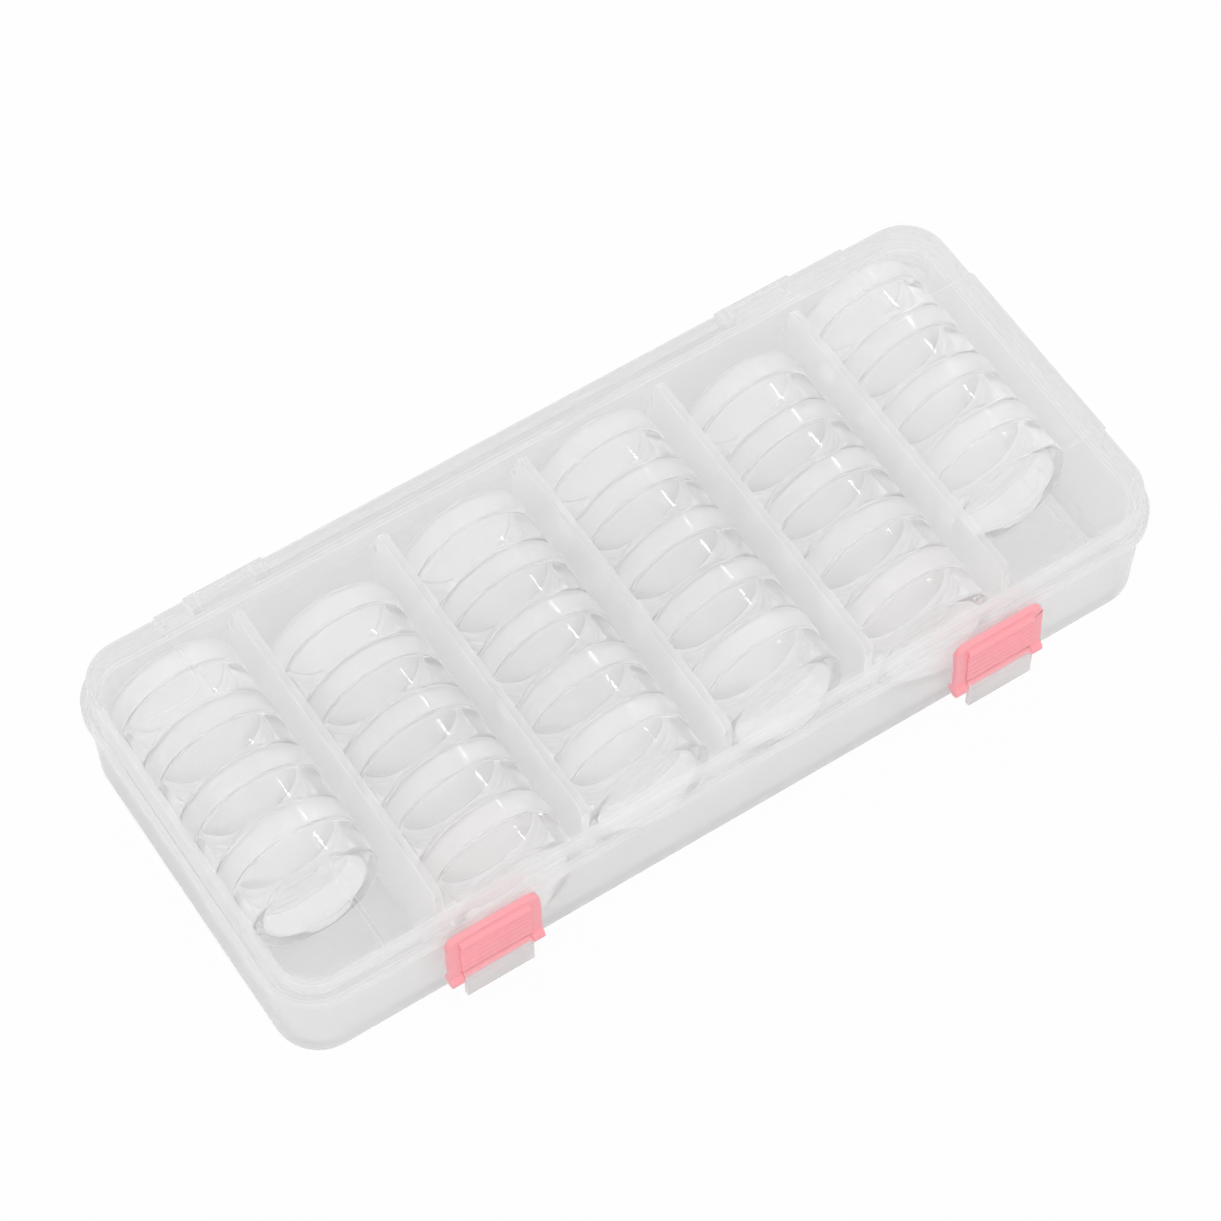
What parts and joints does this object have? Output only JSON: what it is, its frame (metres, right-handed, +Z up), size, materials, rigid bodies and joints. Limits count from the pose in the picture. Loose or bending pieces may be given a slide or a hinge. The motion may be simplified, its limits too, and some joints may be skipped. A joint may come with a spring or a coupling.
{
  "type": "bobbin box",
  "caption": "Shallow clear box for bobbins and small notions: hinged lid, snap latches at the front, and rows of round screw-cap jars lying in divided bays.",
  "frame": {"origin": "middle of the tray's flat underside, where the box rests", "axes": "+X to the right along the box as seen from the latches, +Y back from the latches to the hinges, +Z up"},
  "size_m": [0.2392, 0.1131, 0.0394],
  "materials": {
    "clear_tray": "moulded milky-clear polypropylene, glossy",
    "clear_lid": "moulded milky-clear polypropylene, glossy",
    "pink_latch": "coloured polypropylene, satin",
    "jar_clear": "clear moulded plastic, glossy",
    "cap_clear": "clear moulded plastic, glossy"
  },
  "bodies": {
    "base": {"base_tray": "clear_tray", "jar_1_1": "jar_clear", "jar_1_2": "jar_clear", "jar_1_3": "jar_clear", "jar_1_4": "jar_clear", "jar_2_1": "jar_clear", "jar_2_2": "jar_clear", "jar_2_3": "jar_clear", "jar_2_4": "jar_clear", "jar_2_5": "jar_clear", "jar_3_1": "jar_clear", "jar_3_2": "jar_clear", "jar_3_3": "jar_clear", "jar_3_4": "jar_clear", "jar_3_5": "jar_clear", "jar_4_1": "jar_clear", "jar_4_2": "jar_clear", "jar_4_3": "jar_clear", "jar_4_4": "jar_clear", "jar_4_5": "jar_clear", "jar_5_1": "jar_clear", "jar_5_2": "jar_clear", "jar_5_3": "jar_clear", "jar_5_4": "jar_clear", "jar_5_5": "jar_clear", "jar_6_1": "jar_clear", "jar_6_2": "jar_clear", "jar_6_3": "jar_clear", "jar_6_4": "jar_clear"},
    "lid": {"lid": "clear_lid"},
    "latch_left": {"latch_left": "pink_latch"},
    "latch_right": {"latch_right": "pink_latch"},
    "cap_1_1": {"cap_1_1": "cap_clear"},
    "cap_1_2": {"cap_1_2": "cap_clear"},
    "cap_1_3": {"cap_1_3": "cap_clear"},
    "cap_1_4": {"cap_1_4": "cap_clear"},
    "cap_2_1": {"cap_2_1": "cap_clear"},
    "cap_2_2": {"cap_2_2": "cap_clear"},
    "cap_2_3": {"cap_2_3": "cap_clear"},
    "cap_2_4": {"cap_2_4": "cap_clear"},
    "cap_2_5": {"cap_2_5": "cap_clear"},
    "cap_3_1": {"cap_3_1": "cap_clear"},
    "cap_3_2": {"cap_3_2": "cap_clear"},
    "cap_3_3": {"cap_3_3": "cap_clear"},
    "cap_3_4": {"cap_3_4": "cap_clear"},
    "cap_3_5": {"cap_3_5": "cap_clear"},
    "cap_4_1": {"cap_4_1": "cap_clear"},
    "cap_4_2": {"cap_4_2": "cap_clear"},
    "cap_4_3": {"cap_4_3": "cap_clear"},
    "cap_4_4": {"cap_4_4": "cap_clear"},
    "cap_4_5": {"cap_4_5": "cap_clear"},
    "cap_5_1": {"cap_5_1": "cap_clear"},
    "cap_5_2": {"cap_5_2": "cap_clear"},
    "cap_5_3": {"cap_5_3": "cap_clear"},
    "cap_5_4": {"cap_5_4": "cap_clear"},
    "cap_5_5": {"cap_5_5": "cap_clear"},
    "cap_6_1": {"cap_6_1": "cap_clear"},
    "cap_6_2": {"cap_6_2": "cap_clear"},
    "cap_6_3": {"cap_6_3": "cap_clear"},
    "cap_6_4": {"cap_6_4": "cap_clear"}
  },
  "joints": [
    {"name": "lid_hinge", "type": "hinge", "parent": "base", "child": "lid", "pos_m": [0, 0.0546, 0.027], "axis": [-1, 0, 0], "range_deg": [0, 110]},
    {"name": "latch_left_pivot", "type": "hinge", "parent": "base", "child": "latch_left", "pos_m": [-0.069, -0.05365, 0.0122], "axis": [1, 0, 0], "range_deg": [0, 95]},
    {"name": "latch_right_pivot", "type": "hinge", "parent": "base", "child": "latch_right", "pos_m": [0.069, -0.05365, 0.0122], "axis": [1, 0, 0], "range_deg": [0, 95]},
    {"name": "cap_1_1_turn", "type": "hinge", "parent": "base", "child": "cap_1_1", "pos_m": [-0.0965, 0.04246, 0.019], "axis": [0, 1, 0], "range_deg": [0, 360]},
    {"name": "cap_1_2_turn", "type": "hinge", "parent": "base", "child": "cap_1_2", "pos_m": [-0.0965, 0.02606, 0.019], "axis": [0, 1, 0], "range_deg": [0, 360]},
    {"name": "cap_1_3_turn", "type": "hinge", "parent": "base", "child": "cap_1_3", "pos_m": [-0.0965, 0.00966, 0.019], "axis": [0, 1, 0], "range_deg": [0, 360]},
    {"name": "cap_1_4_turn", "type": "hinge", "parent": "base", "child": "cap_1_4", "pos_m": [-0.0965, -0.00674, 0.019], "axis": [0, 1, 0], "range_deg": [0, 360]},
    {"name": "cap_2_1_turn", "type": "hinge", "parent": "base", "child": "cap_2_1", "pos_m": [-0.0579, 0.03562, 0.019], "axis": [0, 1, 0], "range_deg": [0, 360]},
    {"name": "cap_2_2_turn", "type": "hinge", "parent": "base", "child": "cap_2_2", "pos_m": [-0.0579, 0.01922, 0.019], "axis": [0, 1, 0], "range_deg": [0, 360]},
    {"name": "cap_2_3_turn", "type": "hinge", "parent": "base", "child": "cap_2_3", "pos_m": [-0.0579, 0.00282, 0.019], "axis": [0, 1, 0], "range_deg": [0, 360]},
    {"name": "cap_2_4_turn", "type": "hinge", "parent": "base", "child": "cap_2_4", "pos_m": [-0.0579, -0.01358, 0.019], "axis": [0, 1, 0], "range_deg": [0, 360]},
    {"name": "cap_2_5_turn", "type": "hinge", "parent": "base", "child": "cap_2_5", "pos_m": [-0.0579, -0.02998, 0.019], "axis": [0, 1, 0], "range_deg": [0, 360]},
    {"name": "cap_3_1_turn", "type": "hinge", "parent": "base", "child": "cap_3_1", "pos_m": [-0.0193, 0.04054, 0.019], "axis": [0, 1, 0], "range_deg": [0, 360]},
    {"name": "cap_3_2_turn", "type": "hinge", "parent": "base", "child": "cap_3_2", "pos_m": [-0.0193, 0.02414, 0.019], "axis": [0, 1, 0], "range_deg": [0, 360]},
    {"name": "cap_3_3_turn", "type": "hinge", "parent": "base", "child": "cap_3_3", "pos_m": [-0.0193, 0.00774, 0.019], "axis": [0, 1, 0], "range_deg": [0, 360]},
    {"name": "cap_3_4_turn", "type": "hinge", "parent": "base", "child": "cap_3_4", "pos_m": [-0.0193, -0.00866, 0.019], "axis": [0, 1, 0], "range_deg": [0, 360]},
    {"name": "cap_3_5_turn", "type": "hinge", "parent": "base", "child": "cap_3_5", "pos_m": [-0.0193, -0.02506, 0.019], "axis": [0, 1, 0], "range_deg": [0, 360]},
    {"name": "cap_4_1_turn", "type": "hinge", "parent": "base", "child": "cap_4_1", "pos_m": [0.0193, 0.04282, 0.019], "axis": [0, 1, 0], "range_deg": [0, 360]},
    {"name": "cap_4_2_turn", "type": "hinge", "parent": "base", "child": "cap_4_2", "pos_m": [0.0193, 0.02642, 0.019], "axis": [0, 1, 0], "range_deg": [0, 360]},
    {"name": "cap_4_3_turn", "type": "hinge", "parent": "base", "child": "cap_4_3", "pos_m": [0.0193, 0.01002, 0.019], "axis": [0, 1, 0], "range_deg": [0, 360]},
    {"name": "cap_4_4_turn", "type": "hinge", "parent": "base", "child": "cap_4_4", "pos_m": [0.0193, -0.00638, 0.019], "axis": [0, 1, 0], "range_deg": [0, 360]},
    {"name": "cap_4_5_turn", "type": "hinge", "parent": "base", "child": "cap_4_5", "pos_m": [0.0193, -0.02278, 0.019], "axis": [0, 1, 0], "range_deg": [0, 360]},
    {"name": "cap_5_1_turn", "type": "hinge", "parent": "base", "child": "cap_5_1", "pos_m": [0.0579, 0.03754, 0.019], "axis": [0, 1, 0], "range_deg": [0, 360]},
    {"name": "cap_5_2_turn", "type": "hinge", "parent": "base", "child": "cap_5_2", "pos_m": [0.0579, 0.02114, 0.019], "axis": [0, 1, 0], "range_deg": [0, 360]},
    {"name": "cap_5_3_turn", "type": "hinge", "parent": "base", "child": "cap_5_3", "pos_m": [0.0579, 0.00474, 0.019], "axis": [0, 1, 0], "range_deg": [0, 360]},
    {"name": "cap_5_4_turn", "type": "hinge", "parent": "base", "child": "cap_5_4", "pos_m": [0.0579, -0.01166, 0.019], "axis": [0, 1, 0], "range_deg": [0, 360]},
    {"name": "cap_5_5_turn", "type": "hinge", "parent": "base", "child": "cap_5_5", "pos_m": [0.0579, -0.02806, 0.019], "axis": [0, 1, 0], "range_deg": [0, 360]},
    {"name": "cap_6_1_turn", "type": "hinge", "parent": "base", "child": "cap_6_1", "pos_m": [0.0965, 0.04498, 0.019], "axis": [0, 1, 0], "range_deg": [0, 360]},
    {"name": "cap_6_2_turn", "type": "hinge", "parent": "base", "child": "cap_6_2", "pos_m": [0.0965, 0.02858, 0.019], "axis": [0, 1, 0], "range_deg": [0, 360]},
    {"name": "cap_6_3_turn", "type": "hinge", "parent": "base", "child": "cap_6_3", "pos_m": [0.0965, 0.01218, 0.019], "axis": [0, 1, 0], "range_deg": [0, 360]},
    {"name": "cap_6_4_turn", "type": "hinge", "parent": "base", "child": "cap_6_4", "pos_m": [0.0965, -0.00422, 0.019], "axis": [0, 1, 0], "range_deg": [0, 360]}
  ]
}
